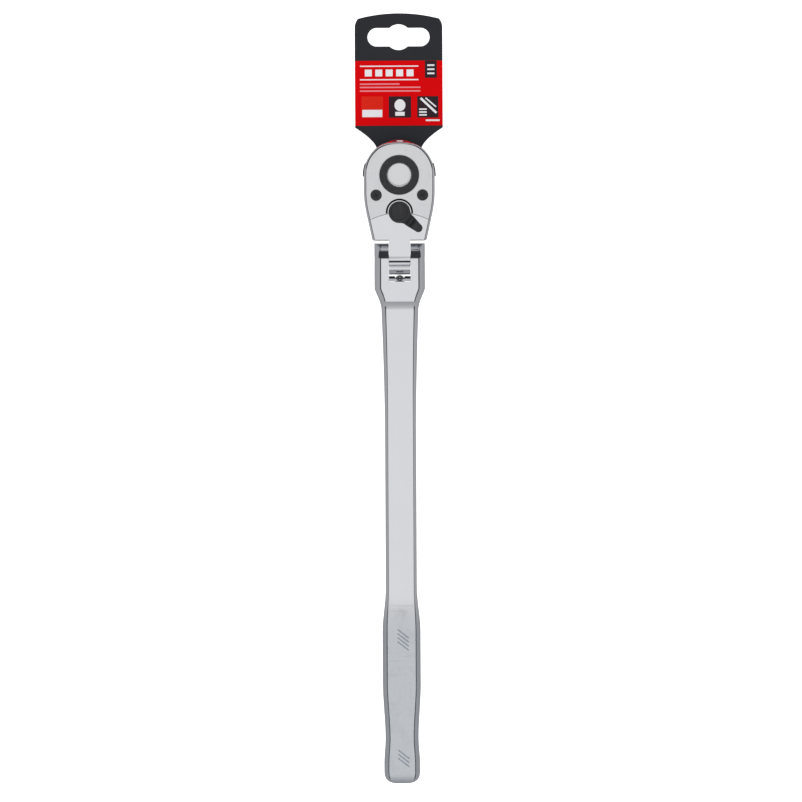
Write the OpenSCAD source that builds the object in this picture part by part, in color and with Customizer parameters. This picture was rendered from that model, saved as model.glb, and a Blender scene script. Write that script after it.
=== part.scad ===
// Flex-head ratchet wrench, 12.7 mm square drive, 72 teeth, with its hanging tag.
// Origin: on the drive axis, on the shoulder where a socket seats.
// +Z: out of the lever side. +Y: from the handle towards the head's round end.
// +X: right, seen from the lever side.
// The square drive points along -Z. Millimetres.

/* [Head] */
// Radius of the head's round end, about the drive axis
head_radius = 23.4; // [21:0.1:28]
// Drive axis to the head's straight lower edge
head_drop = 43.1; // [40:0.1:55]
// Head thickness, back face to front face
head_thickness = 19.4; // [17:0.1:24]
// Width of the rounded band round both faces
head_edge = 1.8; // [0.8:0.1:2.4]
// Width of that band at the top of the round end
crown_edge = 3.1; // [1.8:0.1:4]
// Depth of that band at the top of the round end
crown_depth = 5.2; // [2:0.1:6]
// Taper of the head's lower sides, degrees
head_taper = 12.3; // [6:0.1:16]

/* [Drive] */
// Square drive across flats
square_af = 12.7; // [12:0.05:13]
// Square drive length below the shoulder
square_length = 16; // [14:0.1:22]
// Teeth on the drive gear
gear_teeth = 72; // [60:12:84]
// Gear tip radius
gear_radius = 15.8; // [15:0.1:17]
// Gear tooth depth
tooth_depth = 0.7; // [0.5:0.05:0.9]
// Outer radius of the thumb ring
ring_radius = 12.95; // [12:0.05:13.5]
// Radius of the release button
button_radius = 7.95; // [7:0.05:8.5]
// Radius of the release rod
rod_radius = 2.5; // [2.2:0.05:2.8]
// Travel of the release button
button_travel = 3; // [2.4:0.1:3.2]
// Diameter of the ball that holds a socket
socket_ball_d = 4.76; // [4.4:0.02:5]

/* [Cover plate] */
// Cover plate thickness
plate_thickness = 2.2; // [1.8:0.1:2.8]
// Radius of the curved seam along the plate's lower edge
seam_radius = 43.5; // [38:0.5:60]
// Screw head radius
screw_head = 3.7; // [3.2:0.05:4]
// Screw offset to each side
screw_x = 15.3; // [14.8:0.1:16]
// Screw drop below the drive axis
screw_drop = 13.3; // [12:0.1:14.5]

/* [Lever] */
// Radius of the reversing lever's hub
lever_hub = 7.15; // [6.4:0.05:7.6]
// Lever axis to the centre of the tail's tip
lever_reach = 16.2; // [14:0.1:17]
// Tip radius of the tail
lever_tip = 2.8; // [2.2:0.1:3.4]
// Half of the lever's throw, degrees from the wrench's centre line
lever_throw = 49.8; // [40:0.1:55]
// Height of the hub above the face
lever_height = 3.3; // [2.4:0.1:4.2]

/* [Flex joint] */
// Drive axis to the flex pivot
pivot_drop = 56; // [52:0.5:72]
// Width of the tongue that sits in the fork
tongue_width = 14.1; // [12:0.1:17]
// Radius of the flex pin
pin_radius = 3.4; // [2.8:0.05:4]
// Diameter of the detent ball
flex_ball_d = 6.35; // [5.4:0.05:7.2]

/* [Handle] */
// Flex pivot to the end of the handle
handle_length = 345.4; // [270:0.1:450]
// Fork width
fork_width = 33.4; // [31:0.1:40]
// Fork thickness
fork_thickness = 20.2; // [19.6:0.1:24]
// Pivot to the tips of the fork's arms
arm_reach = 11.1; // [10.2:0.1:12]
// Pivot to where the fork starts to narrow
fork_length = 18.5; // [18:0.5:26]
// Width just below the fork
neck_width = 24.4; // [20:0.1:28]
// Width of the slim shank
shank_width = 20.6; // [16:0.1:24]
// Thickness of the slim shank
shank_thickness = 12.2; // [10:0.1:15]
// Widest part of the grip
grip_width = 25.1; // [20:0.1:32]
// Grip thickness
grip_thickness = 15.2; // [12:0.1:18]
// Width of the waist in the grip
waist_width = 21.9; // [18:0.1:28]
// Width of the swell at the end
butt_width = 23.7; // [18:0.1:30]
// End of the handle to where the grip starts to swell
grip_length = 130; // [100:1:170]
// Depth of the decorative grooves
groove_depth = 0.3; // [0.1:0.05:0.6]

/* [Hanging tag] */
// Tag width
tag_width = 58; // [54:0.5:80]
// Drive axis to the top of the tag
tag_height = 107.4; // [95:0.5:130]
// Tag thickness
tag_thickness = 2.2; // [1.6:0.1:3]
// Height of the hanging slot above the drive axis
tag_slot_y = 91.6; // [82:0.1:110]
// Printed label height
label_height = 42.9; // [30:0.1:50]

/* [Fits] */
// Gap between parts that turn or slide past each other
play = 0.3; // [0.2:0.05:0.4]
// Running clearance on pins and shafts, on the radius
running = 0.08; // [0.03:0.01:0.1]

/* [Hidden] */
$fn = 64;
e = 0.01;

chrome = [0.82, 0.83, 0.85];
dark = [0.16, 0.17, 0.19];
steel = [0.6, 0.61, 0.63];
plastic = [0.13, 0.14, 0.16];
red = [0.86, 0.03, 0.08];
rubber = [0.08, 0.08, 0.08];

// heights
back_z = 0.8;                               // back face of the head
front_z = back_z + head_thickness;          // front face of the head
mid_z = (back_z + front_z) / 2;             // mid-plane, and the flex pivot's height
plate_z = front_z - plate_thickness;        // underside of the cover plate
floor_z = back_z + 3.2;                     // floor of the gear pocket
gear_z0 = floor_z + 1.5;
gear_z1 = plate_z - 1.4;
ring_top = front_z + 1;
button_top = ring_top - 0.2;
button_z0 = button_top - 2.5;               // underside of the button
well_z = button_z0 - button_travel - play;  // floor of the button's well
spring_z0 = floor_z + 3;                    // seat of the release spring
edge_depth = head_edge * 1.2;               // depth of the rounded band at the sides
foot_edge = head_edge * 0.25;               // its width along the straight lower edge
// radii
ring_r = min(ring_radius, gear_radius - 2.4);
pocket_r = gear_radius + 0.6;
boss_r = min(10.45, square_af / 2 * sqrt(2) + 1.47);
well_r = button_radius + play;
spigot_r = well_r + 1.75;
bore_r = rod_radius + running;
ball_r = socket_ball_d / 2;
ball_z = -square_length / 2;
ball_in = button_travel / 3;                // how far the ball sinks
ball_x = rod_radius + running + ball_r;     // rest position of the ball's centre
neck_r = rod_radius - button_travel * 11 / 30;
// pawl and lever
lever_y = -(gear_radius + 8.8);
pawl_pin_y = -(gear_radius + 2.5);
pawl_pin_r = 1.2;
pawl_tilt = lever_throw / 10;
shaft_r = 3.2;
nose_r = shaft_r + 1;                       // reach of the plunger's nose
seam_y = lever_y - 0.3 - seam_radius;       // centre of the seam's arc
recess_z = front_z - 1.3;                   // floor of the recess round the lever
// flex joint
knuckle_r = head_thickness / 2 + 0.1;
slot_w = tongue_width + play;
arm_r = fork_thickness / 2;
flex_nose = knuckle_r + 0.05;               // the ball's nose, from the pivot
flex_ball_r = flex_ball_d / 2;
flex_ball_y = -pivot_drop - flex_nose - flex_ball_r;
crotch = knuckle_r + 0.8;                   // slot floor at mid-thickness, from the pivot
crotch_face = crotch + 3.8;                 // slot floor at the faces, from the pivot
ball_bore_r = flex_ball_r + running;
detent_depth = 0.8;
// screws
screw_r = 1.85;
screw_z = front_z - 1.5;                    // underside of the screw heads
// tag
tag_top = -0.3;
tag_bottom = tag_top - tag_thickness;
tag_half = tag_width / 2;
clip_r = head_radius + 0.75;
clip_top = 6;
label_y1 = tag_slot_y - 15.6;
label_y0 = label_y1 - label_height;

function mix(a, b, t) = a + (b - a) * t;
function clamp01(t) = min(1, max(0, t));
function smooth(t) = let (u = clamp01(t)) u * u * (3 - 2 * u);
function part_way(s, a, b) = clamp01((s - a) / (b - a));
function polar(r, a) = [r * cos(a), r * sin(a)];

// A solid through a stack of rings with the same number of points.
module loft(rings) {
  n = len(rings[0]);
  m = len(rings);
  polyhedron(
    points = [for (r = rings) each r],
    faces = concat(
      [[for (i = [0:n - 1]) i]],
      [for (j = [0:m - 2], i = [0:n - 1])
        let (a = j * n + i, b = j * n + (i + 1) % n)
        each [[a, a + n, b + n], [a, b + n, b]]],
      [[for (i = [n - 1:-1:0]) (m - 1) * n + i]]));
}

// A round bar along X through the flex pivot, centred on x.
module across(r, width, x = 0) {
  translate([x, -pivot_drop, mid_z]) rotate([0, 90, 0]) cylinder(r = r, h = width, center = true, $fn = 96);
}

// A round wire wound along Z from z0 to z1.
module coil(mean_r, wire_r, z0, z1, turns) {
  steps = round(turns * 20);
  loft([for (k = [0:steps])
    let (a = k * 360 * turns / steps, z = mix(z0 + wire_r, z1 - wire_r, k / steps))
    [for (j = [0:7])
      let (b = -j * 45, r = mean_r + wire_r * cos(b))
      [r * cos(a), r * sin(a), z + wire_r * sin(b)]]]);
}

// ---------- head ----------

// How far a rounded band, `width` by `height`, has drawn in at a depth below the face.
// With a power of 2 it is a quarter of an ellipse; a lower power makes it flatter.
function drawn_in(depth, width, height, power = 2) =
  depth >= height ? 0 : width * (1 - pow(1 - pow(1 - depth / height, power), 1 / power));

// Right half of the head's outline, bottom to top, at a depth below the face and drawn in by `extra`.
function head_half(depth, extra) =
  let (
    t = head_taper, rs = head_radius * 3, ys = -head_radius * 0.43,
    side = drawn_in(depth, head_edge, edge_depth) + extra,
    foot = drawn_in(depth, foot_edge, edge_depth) + extra,
    crown = drawn_in(depth, crown_edge, crown_depth, 1.3) + extra,
    tx = head_radius - rs * (1 - cos(t)), ty = ys - rs * sin(t),
    rc = max(0.05, 1.8 - side), cy = -head_drop + foot + rc,
    cx = tx + (sin(t) * (cy - ty) - side - rc) / cos(t))
  concat(
    [for (k = [0:5]) [cx, cy] + polar(rc, -90 + k * (90 - t) / 5)],
    [for (k = [0:4]) [head_radius - rs, ys] + polar(rs - side, -t + k * t / 4)],
    [for (a = [0:5:90]) polar(head_radius - mix(side, crown, smooth((a - 50) / 40)), a)]);

// The whole outline, counter-clockwise.
function head_outline(depth, extra = 0) =
  let (half = head_half(depth, extra))
  concat(half, [for (i = [len(half) - 2:-1:0]) [-half[i][0], half[i][1]]]);

module head_blank() {
  depths = concat(
    [for (k = [0:4]) edge_depth * (1 - cos(k * 22.5))],
    [for (k = [1:3]) mix(edge_depth, crown_depth, k / 3)]);
  n = len(depths);
  loft(concat(
    [for (d = depths) [for (p = head_outline(d)) [p[0], p[1], back_z + d]]],
    [for (i = [n - 1:-1:0]) [for (p = head_outline(depths[i])) [p[0], p[1], front_z - depths[i]]]]));
}

module plate_shape(gap) {
  difference() {
    polygon(head_outline(0, 0.2 + gap));
    translate([0, seam_y]) circle(r = seam_radius + gap, $fn = 180);
  }
}

module screw_places() {
  for (s = [-1, 1]) translate([s * screw_x, -screw_drop, 0]) children();
}

module pawl_pocket_shape() {
  circle(r = pocket_r, $fn = 96);
  intersection() {
    circle(r = gear_radius + 5.1, $fn = 96);
    translate([-12.3, -gear_radius - 5.1]) square([24.6, 13]);
  }
  translate([-6.4, pawl_pin_y - 5.5]) square([12.8, 8.7]);
}

module head_body() {
  color(chrome) difference() {
    union() {
      head_blank();
      // tongue
      translate([-tongue_width / 2, -pivot_drop, back_z])
        cube([tongue_width, pivot_drop - head_drop + 5, head_thickness]);
      across(knuckle_r, tongue_width);
    }
    // gear and pawl pocket, plate seat, drive bore with its seal groove
    translate([0, 0, floor_z]) linear_extrude(plate_z - floor_z + e) pawl_pocket_shape();
    translate([0, 0, plate_z]) linear_extrude(plate_thickness + 1) plate_shape(0);
    translate([0, 0, back_z - 1]) cylinder(r = boss_r + play, h = floor_z - back_z + 2, $fn = 96);
    translate([0, 0, back_z + 0.95]) cylinder(r = boss_r + 1.35, h = 1.3, $fn = 96);
    // pawl pin, lever shaft and its seal
    translate([0, pawl_pin_y, back_z + 1.2]) cylinder(r = pawl_pin_r, h = floor_z);
    translate([0, lever_y, floor_z + 0.6]) cylinder(r = shaft_r + running, h = head_thickness);
    translate([0, lever_y, recess_z]) cylinder(r = 5, h = 3);
    screw_places() translate([0, 0, back_z + 7]) cylinder(r = screw_r + 0.05, h = head_thickness);
    // flex pin bore and detent grooves
    across(pin_radius + running, 60);
    for (a = [-90:30:90]) translate([0, -pivot_drop, mid_z]) rotate([a, 0, 0])
      translate([0, -knuckle_r - flex_ball_r + detent_depth, 0]) rotate([0, 90, 0])
        cylinder(r = flex_ball_r + 0.05, h = tongue_width + 2, center = true);
  }
}

module cover_plate() {
  color(chrome) difference() {
    translate([0, 0, plate_z]) linear_extrude(plate_thickness) plate_shape(0.1);
    cylinder(r = ring_r + play, h = 60, $fn = 96);
    screw_places() {
      cylinder(r = screw_r + 0.1, h = 60);
      translate([0, 0, screw_z]) cylinder(r = screw_head + 0.05, h = 5);
    }
    translate([0, lever_y, 0]) {
      cylinder(r = shaft_r + running, h = 60);
      translate([0, 0, recess_z])
        cylinder(r1 = lever_hub + 1.25, r2 = lever_hub + 1.75, h = front_z - recess_z + e, $fn = 96);
    }
  }
}

module cover_screws() {
  color(dark) screw_places() difference() {
    union() {
      translate([0, 0, screw_z]) cylinder(r = screw_head, h = 1.4);
      translate([0, 0, back_z + 7.6]) cylinder(r = screw_r, h = screw_z - back_z - 7.5);
    }
    for (a = [0, 90]) rotate([0, 0, 30 + a]) translate([-2.2, -0.4, front_z - 0.9]) cube([4.4, 0.8, 3]);
  }
}

module thrust_washer() {
  color(steel) translate([0, 0, plate_z - 0.9]) difference() {
    cylinder(r = gear_radius - 0.2, h = 0.9, $fn = 96);
    translate([0, 0, -1]) cylinder(r = ring_r + 0.35, h = 3, $fn = 96);
  }
}

module gear_seal() {
  color(rubber) translate([0, 0, back_z + 1.6]) rotate_extrude($fn = 96)
    translate([boss_r + 0.75, 0]) circle(r = 0.55, $fn = 24);
}

module pawl_pin() {
  color(steel) translate([0, pawl_pin_y, back_z + 1.2]) cylinder(r = pawl_pin_r, h = plate_z - back_z - 1.5);
}

// One arm of the pawl, as it lies when its teeth are in the gear.
module pawl_arm() {
  c = 0.12;
  in_r = gear_radius + 0.35;
  out_r = gear_radius + 2.8;
  step = 180 / gear_teeth;
  polygon(concat(
    [polar(in_r, -106), polar(in_r, -111.5)],
    [for (j = [ceil(22 / step):floor(37.6 / step)])
      polar(gear_radius + c - (j % 2 == 1 ? tooth_depth : 0), -90 - j * step)],
    [for (a = [-127.5:3.5:-103]) polar(out_r, a)]));
}

module pawl() {
  t = gear_z1 - gear_z0 - 1;
  // the pawl's two horns, which the plunger presses
  horn_r = gear_radius + 3.2;
  horn_x = 5.7;
  horn_y = pawl_pin_y - 4.1;
  color(steel) translate([0, pawl_pin_y, gear_z0 + 0.5]) rotate([0, 0, -pawl_tilt]) difference() {
    union() {
      for (s = [0, 1]) mirror([s, 0, 0]) rotate([0, 0, pawl_tilt])
        translate([0, -pawl_pin_y, 0]) linear_extrude(t) pawl_arm();
      translate([0, -pawl_pin_y, 0]) linear_extrude(t) polygon(concat(
        [for (a = [-72:-4:-108]) polar(gear_radius + 0.7, a)],
        [polar(horn_r, -109), [-horn_x, horn_y], [horn_x, horn_y], polar(horn_r, -71)]));
    }
    translate([0, 0, -1]) cylinder(r = pawl_pin_r + 0.06, h = 20);
    translate([0, lever_y - pawl_pin_y, -1]) cylinder(r = nose_r + 0.15, h = 20, $fn = 72);
  }
}

// ---------- drive ----------

module square_stub() {
  h = square_af / 2;
  c = 1.1;
  ring = function (w, z) [for (p = [[1, -1], [1, 1], [-1, 1], [-1, -1]]) [p[0] * w, p[1] * w, z]];
  loft([ring(h - c, -square_length), ring(h, -square_length + 1.6), ring(h, 1)]);
}

module drive_gear() {
  color(steel) difference() {
    union() {
      intersection() {
        square_stub();
        translate([0, 0, -square_length - 1]) cylinder(r = square_af * 0.66, h = square_length + 3, $fn = 96);
      }
      cylinder(r = boss_r, h = gear_z0 + e, $fn = 96);
      translate([0, 0, gear_z0]) linear_extrude(gear_z1 - gear_z0)
        polygon([for (i = [0:2 * gear_teeth - 1])
          polar(gear_radius - (i % 2 == 1 ? tooth_depth : 0), i * 180 / gear_teeth)]);
      translate([0, 0, gear_z1 - e]) cylinder(r = spigot_r, h = 2, $fn = 96);
    }
    translate([0, 0, well_z]) cylinder(r = well_r, h = 20, $fn = 96);
    translate([0, 0, spring_z0]) cylinder(r = rod_radius + 1.9, h = 20);
    translate([0, 0, -square_length + 1.4]) cylinder(r = bore_r, h = 60);
    translate([0, 0, ball_z]) rotate([0, 90, 0]) cylinder(r = ball_r + running, h = 20);
  }
}

module thumb_ring() {
  color(dark) difference() {
    union() {
      translate([0, 0, gear_z1 + e]) cylinder(r = ring_r, h = ring_top - 0.5 - gear_z1 - e, $fn = 96);
      translate([0, 0, ring_top - 0.5 - e]) cylinder(r1 = ring_r, r2 = ring_r - 0.5, h = 0.5 + e, $fn = 96);
    }
    translate([0, 0, gear_z1 - 1]) cylinder(r = spigot_r + e, h = 3, $fn = 96);
    cylinder(r = well_r, h = 60, $fn = 96);
    translate([0, 0, ring_top - 0.5]) cylinder(r1 = well_r, r2 = well_r + 0.55, h = 0.55, $fn = 96);
  }
}

module release_button() {
  color(chrome) {
    translate([0, 0, button_z0]) cylinder(r = button_radius, h = button_top - button_z0 - 0.4, $fn = 96);
    translate([0, 0, button_top - 0.4 - e])
      cylinder(r1 = button_radius, r2 = button_radius - 0.4, h = 0.4 + e, $fn = 96);
  }
}

module release_rod() {
  // the ball sinks into the rod's neck, whose lower end slopes
  neck_z0 = ball_z - 0.3;
  neck_z1 = ball_z + button_travel + ball_r + 0.3;
  tip_z = ball_z - 3.2;
  color(steel) rotate_extrude($fn = 64) polygon([
    [0, tip_z], [rod_radius - 0.3, tip_z], [rod_radius, tip_z + 0.3], [rod_radius, neck_z0],
    [neck_r, neck_z0 + (rod_radius - neck_r) * 3], [neck_r, neck_z1],
    [rod_radius, neck_z1], [rod_radius, button_z0], [0, button_z0]]);
}

module release_spring() {
  color(steel) coil(rod_radius + 0.95, 0.4, spring_z0 + 0.05, button_z0 - 0.05, 5);
}

module socket_ball() {
  color(steel) translate([ball_x, 0, ball_z]) sphere(r = ball_r);
}

// ---------- reversing lever ----------

// Lever outline: a round hub whose tapered tail runs along -Y, drawn in by `inset`.
function lever_outline(inset) =
  let (
    R = lever_hub - inset, r = lever_tip - inset, d = lever_reach,
    w = 3.9 - inset, f = 5,                        // half-width of the tail at its root, fillet radius
    s = (w - r) / (d - 7.2), b = atan(s),          // taper of the tail's sides
    // fillet centre: f away from the hub and from the tail's side
    q = r / cos(b) + f / cos(b),
    // x = q + (d + y) * s and x^2 + y^2 = (R + f)^2
    A = 1 + s * s, B = 2 * s * (q + d * s), C = pow(q + d * s, 2) - pow(R + f, 2),
    yf = (-B - sqrt(B * B - 4 * A * C)) / (2 * A), xf = q + (d + yf) * s,
    ang = atan2(yf, xf))
  let (half = concat(
    [for (k = [0:5]) [0, -d] + polar(r, -90 + k * (90 + b) / 5)],
    [for (k = [0:5]) [xf, yf] + polar(f, mix(180 + b, 180 + ang, k / 5))],
    [for (k = [1:14]) polar(R, mix(ang, 90, k / 14))]))
  concat(half, [for (i = [len(half) - 2:-1:1]) [-half[i][0], half[i][1]]]);

module reversing_lever() {
  z0 = front_z + 0.15;
  z1 = front_z + 0.15 + lever_height;
  color(dark) translate([0, lever_y, 0]) rotate([0, 0, lever_throw]) difference() {
    union() {
      translate([0, 0, z0]) linear_extrude(z1 - z0 - 0.7) polygon(lever_outline(0));
      translate([0, 0, z1 - 1]) linear_extrude(0.7) polygon(lever_outline(0.25));
      translate([0, 0, z1 - 1]) linear_extrude(1) polygon(lever_outline(0.7));
      translate([0, 0, floor_z + 1]) cylinder(r = shaft_r, h = z0 - floor_z - 0.9);
    }
    // dished hub, scooped tail
    translate([0, 0.3, z1 - 0.45]) cylinder(r1 = lever_hub - 1.9, r2 = lever_hub - 1.4, h = 0.5);
    translate([0, -lever_hub - 2.6, z1 + 3.3]) rotate([0, 90, 0])
      cylinder(r = 4.4, h = 20, center = true, $fn = 72);
    // plunger bore
    translate([0, -shaft_r + 0.8, mid_z + 0.5]) rotate([-90, 0, 0]) cylinder(r = 1.2, h = 10, $fn = 32);
  }
}

module lever_plunger() {
  color(steel) translate([0, lever_y, mid_z + 0.5]) rotate([0, 0, lever_throw]) rotate([-90, 0, 0]) {
    translate([0, 0, nose_r - 3.2]) cylinder(r = 1.12, h = 2.2, $fn = 32);
    translate([0, 0, nose_r - 1.12]) sphere(r = 1.12, $fn = 32);
  }
}

module lever_spring() {
  color(steel) translate([0, lever_y, mid_z + 0.5]) rotate([0, 0, lever_throw]) rotate([-90, 0, 0])
    coil(0.85, 0.2, -shaft_r + 0.85, nose_r - 3.25, 4);
}

module lever_seal() {
  color(rubber) translate([0, lever_y, recess_z + 0.52]) rotate_extrude($fn = 64)
    translate([4.3, 0]) circle(r = 0.5, $fn = 24);
}

// ---------- handle ----------

taper_end = fork_length + 90;
flare_start = handle_length - grip_length;
butt_start = handle_length - 10;
neck_start = fork_length + 15;
flare_end = flare_start + 30;
waist_start = handle_length - 66.5;
waist_end = handle_length - 30;
butt_swell = handle_length - 13;

// rounding of the butt: 1 along the handle, falling to 0 at its very end
function end_round(s) =
  let (u = part_way(s, butt_start, handle_length))
  pow(max(0, 1 - pow(u, 3.2)), 1 / 3.2);

// half-width at a distance s from the pivot
function half_w(s) = 0.5 * end_round(s) *
  (s < fork_length ? fork_width
  : s < neck_start ? mix(fork_width, neck_width, smooth(pow(part_way(s, fork_length, neck_start), 0.75)))
  : s < taper_end ?
    let (t = part_way(s, neck_start, taper_end))
    mix(neck_width, shank_width, mix(t, t * (2 - t), 0.6))
  : s < waist_start ? mix(shank_width, grip_width, smooth(part_way(s, flare_start, flare_end)))
  : s < waist_end ? mix(grip_width, waist_width, smooth(part_way(s, waist_start, waist_end)))
  : mix(waist_width, butt_width, smooth(part_way(s, waist_end, butt_swell))));

// half-thickness
step_start = fork_length + 8.9;
step_end = step_start + 6;
function half_t(s) = 0.5 * end_round(s) *
  (s < 0 ? fork_thickness * sqrt(max(0.000001, 1 - pow(s / arm_reach, 2)))
  : s < step_start ? fork_thickness
  : s < step_end ? mix(shank_thickness, fork_thickness, pow(1 - part_way(s, step_start, step_end), 2))
  : mix(shank_thickness, grip_thickness, smooth(part_way(s, flare_start, flare_end))));

// width of the rounded band beside the flat face
fork_band = 4.8;
neck_band = 3.4;
shank_band = 2.2;
grip_band = 3.6;
function band(s) = end_round(s) *
  (s < fork_length + 4 ? fork_band
  : s < neck_start ? mix(fork_band, neck_band, part_way(s, fork_length + 4, neck_start))
  : s < taper_end ? mix(neck_band, shank_band, part_way(s, neck_start, taper_end))
  : mix(shank_band, grip_band, smooth(part_way(s, flare_start, flare_end))));

function handle_ring(s) =
  let (w = half_w(s), t = half_t(s), b = min(band(s), w * 0.9), c = t * 0.7,
    quarter = [for (k = [0:5]) let (a = k * 18) [w - b + b * cos(a), t - c + c * sin(a)]])
  concat(
    [for (p = quarter) [p[0], -pivot_drop - s, mid_z + p[1]]],
    [for (i = [5:-1:0]) let (p = quarter[i]) [-p[0], -pivot_drop - s, mid_z + p[1]]],
    [for (p = quarter) [-p[0], -pivot_drop - s, mid_z - p[1]]],
    [for (i = [5:-1:0]) let (p = quarter[i]) [p[0], -pivot_drop - s, mid_z - p[1]]]);

handle_stations = concat(
  [for (k = [0:6]) -arm_reach * cos(k * 15)],
  [fork_length],
  [for (k = [1:6]) mix(fork_length, step_start, k / 6)],
  [for (k = [1:5]) mix(step_start, step_end, k / 5)],
  [for (k = [1:5]) mix(step_end, taper_end, k / 5)],
  [for (k = [0:8]) mix(flare_start, flare_end, k / 8)],
  [for (k = [0:8]) mix(waist_start, waist_end, k / 8)],
  [for (k = [1:4]) mix(waist_end, butt_swell, k / 4)],
  [butt_start],
  [for (u = [0.35, 0.55, 0.7, 0.8, 0.88, 0.94, 0.98, 0.998]) butt_start + u * 10]);

// Plain slanting grooves, `rows` of them, from s0 along the handle.
module grooves(s0, rows) {
  for (k = [0:rows - 1]) translate([1, -pivot_drop - s0 - k * 2.7, mid_z + grip_thickness / 2 - groove_depth])
    rotate([0, 0, -38]) translate([-4.6, -0.55, 0]) cube([9.2, 1.1, 2]);
}

module handle() {
  color(chrome) difference() {
    loft([for (s = handle_stations) handle_ring(s)]);
    // fork slot with its raised floor
    translate([-slot_w / 2, -pivot_drop, mid_z]) rotate([90, 0, 90]) linear_extrude(slot_w)
      polygon([
        [30, -arm_r - 2], [-crotch_face, -arm_r - 2], [-crotch_face + 0.4, -flex_ball_r], [-crotch, -0.8],
        [-crotch, 0.8], [-crotch_face + 0.4, flex_ball_r], [-crotch_face, arm_r + 2], [30, arm_r + 2]]);
    // flex pin bore with its shallow spot faces, ball bore
    across(pin_radius, 60);
    for (s = [-1, 1]) across(pin_radius + 1, 10, s * (fork_width / 2 + 4.5));
    translate([0, -pivot_drop - crotch + 2, mid_z]) rotate([90, 0, 0]) cylinder(r = ball_bore_r, h = 21);
    grooves(handle_length - 99, 4);
    grooves(handle_length - 19.5, 3);
  }
}

module flex_pin() {
  half = fork_width / 2 - 0.7;
  color(steel) translate([0, -pivot_drop, mid_z]) rotate([0, 90, 0]) difference() {
    cylinder(r = pin_radius, h = 2 * half, center = true);
    for (s = [-1, 1]) translate([0, 0, s * half]) cylinder(r = 1.8, h = 3, center = true, $fn = 6);
  }
}

module flex_ball() {
  color(steel) translate([0, flex_ball_y, mid_z]) sphere(r = flex_ball_r);
}

module flex_spring() {
  color(steel) translate([0, 0, mid_z]) rotate([90, 0, 0])
    coil(flex_ball_r - 0.65, 0.5, -flex_ball_y + flex_ball_r + 0.85, pivot_drop + crotch + 18.9, 5);
}

// ---------- hanging tag ----------

// The stretch of the tag, above the drive axis, that carries its two side clips.
module clip_strip() {
  translate([-40, -0.4]) square([80, 8.6]);
}

module tag_shape() {
  shoulder = label_y0 - 1.3;
  neck = 14.4;
  arch = 105;
  corner = 9.5;
  sweep = [for (k = [8:-1:0]) let (t = k / 8)
    [mix(neck, tag_half, pow(t, 1.65)), mix(shoulder - 15, shoulder + 0.1, t)]];
  difference() {
    union() {
      // card with a shallow arched top and round corners
      intersection() {
        union() {
          translate([-tag_half, shoulder]) square([tag_width, tag_height - corner - shoulder]);
          translate([corner - tag_half, shoulder]) square([tag_width - 2 * corner, tag_height - shoulder]);
          for (s = [-1, 1]) translate([s * (tag_half - corner), tag_height - corner]) circle(r = corner);
        }
        translate([0, tag_height - arch]) circle(r = arch, $fn = 180);
      }
      // swept neck
      polygon(concat(sweep, [for (i = [8:-1:0]) [-sweep[i][0], sweep[i][1]]]));
      translate([-neck, 0]) square([2 * neck, shoulder - 10]);
      circle(r = neck, $fn = 120);
      // bar that carries the side clips
      intersection() {
        circle(r = clip_r, $fn = 180);
        clip_strip();
      }
    }
    // hole for the square, hanging slot
    circle(r = square_af * 0.75, $fn = 96);
    translate([0, tag_slot_y]) {
      translate([-14.4, -6.15]) square([28.8, 12.3]);
      for (s = [-1, 1]) translate([s * 14.4, 0]) circle(r = 6.15);
      circle(r = 8.55);
    }
  }
}

module hang_tag() {
  color(plastic) {
    translate([0, 0, tag_bottom]) linear_extrude(tag_thickness) tag_shape();
    translate([0, 0, tag_bottom]) linear_extrude(clip_top - tag_bottom) intersection() {
      difference() {
        circle(r = clip_r, $fn = 180);
        circle(r = head_radius + 0.1, $fn = 180);
      }
      clip_strip();
    }
  }
}

module tag_label() {
  color(red) translate([-tag_half, label_y0, tag_top]) cube([tag_width, label_height, 0.2]);
}

handle();
flex_pin();
flex_ball();
flex_spring();
head_body();
cover_plate();
cover_screws();
pawl();
pawl_pin();
drive_gear();
thumb_ring();
thrust_washer();
gear_seal();
release_button();
release_rod();
release_spring();
socket_ball();
reversing_lever();
lever_spring();
lever_plunger();
lever_seal();
hang_tag();
tag_label();
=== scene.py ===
import math

import bpy
from mathutils import Matrix, Vector


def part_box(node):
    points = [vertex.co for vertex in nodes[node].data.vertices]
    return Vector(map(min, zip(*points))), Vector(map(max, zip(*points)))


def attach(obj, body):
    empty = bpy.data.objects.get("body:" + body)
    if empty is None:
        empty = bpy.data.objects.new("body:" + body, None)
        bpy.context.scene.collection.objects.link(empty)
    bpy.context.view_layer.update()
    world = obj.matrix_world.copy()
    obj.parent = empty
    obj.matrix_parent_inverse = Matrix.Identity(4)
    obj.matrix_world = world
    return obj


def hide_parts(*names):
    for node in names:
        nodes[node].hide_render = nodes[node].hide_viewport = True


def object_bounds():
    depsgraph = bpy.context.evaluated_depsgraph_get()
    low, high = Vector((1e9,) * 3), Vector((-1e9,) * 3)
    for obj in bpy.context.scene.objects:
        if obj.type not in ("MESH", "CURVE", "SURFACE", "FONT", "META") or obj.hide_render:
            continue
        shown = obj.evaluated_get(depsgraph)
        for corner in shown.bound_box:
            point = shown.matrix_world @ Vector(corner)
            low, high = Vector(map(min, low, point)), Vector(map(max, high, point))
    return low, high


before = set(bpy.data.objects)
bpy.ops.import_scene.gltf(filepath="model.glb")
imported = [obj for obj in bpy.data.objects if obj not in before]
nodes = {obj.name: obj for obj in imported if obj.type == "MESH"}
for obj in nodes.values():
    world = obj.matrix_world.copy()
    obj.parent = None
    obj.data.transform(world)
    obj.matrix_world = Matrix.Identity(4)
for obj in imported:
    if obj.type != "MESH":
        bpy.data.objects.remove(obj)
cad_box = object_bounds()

MM = 0.001


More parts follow.
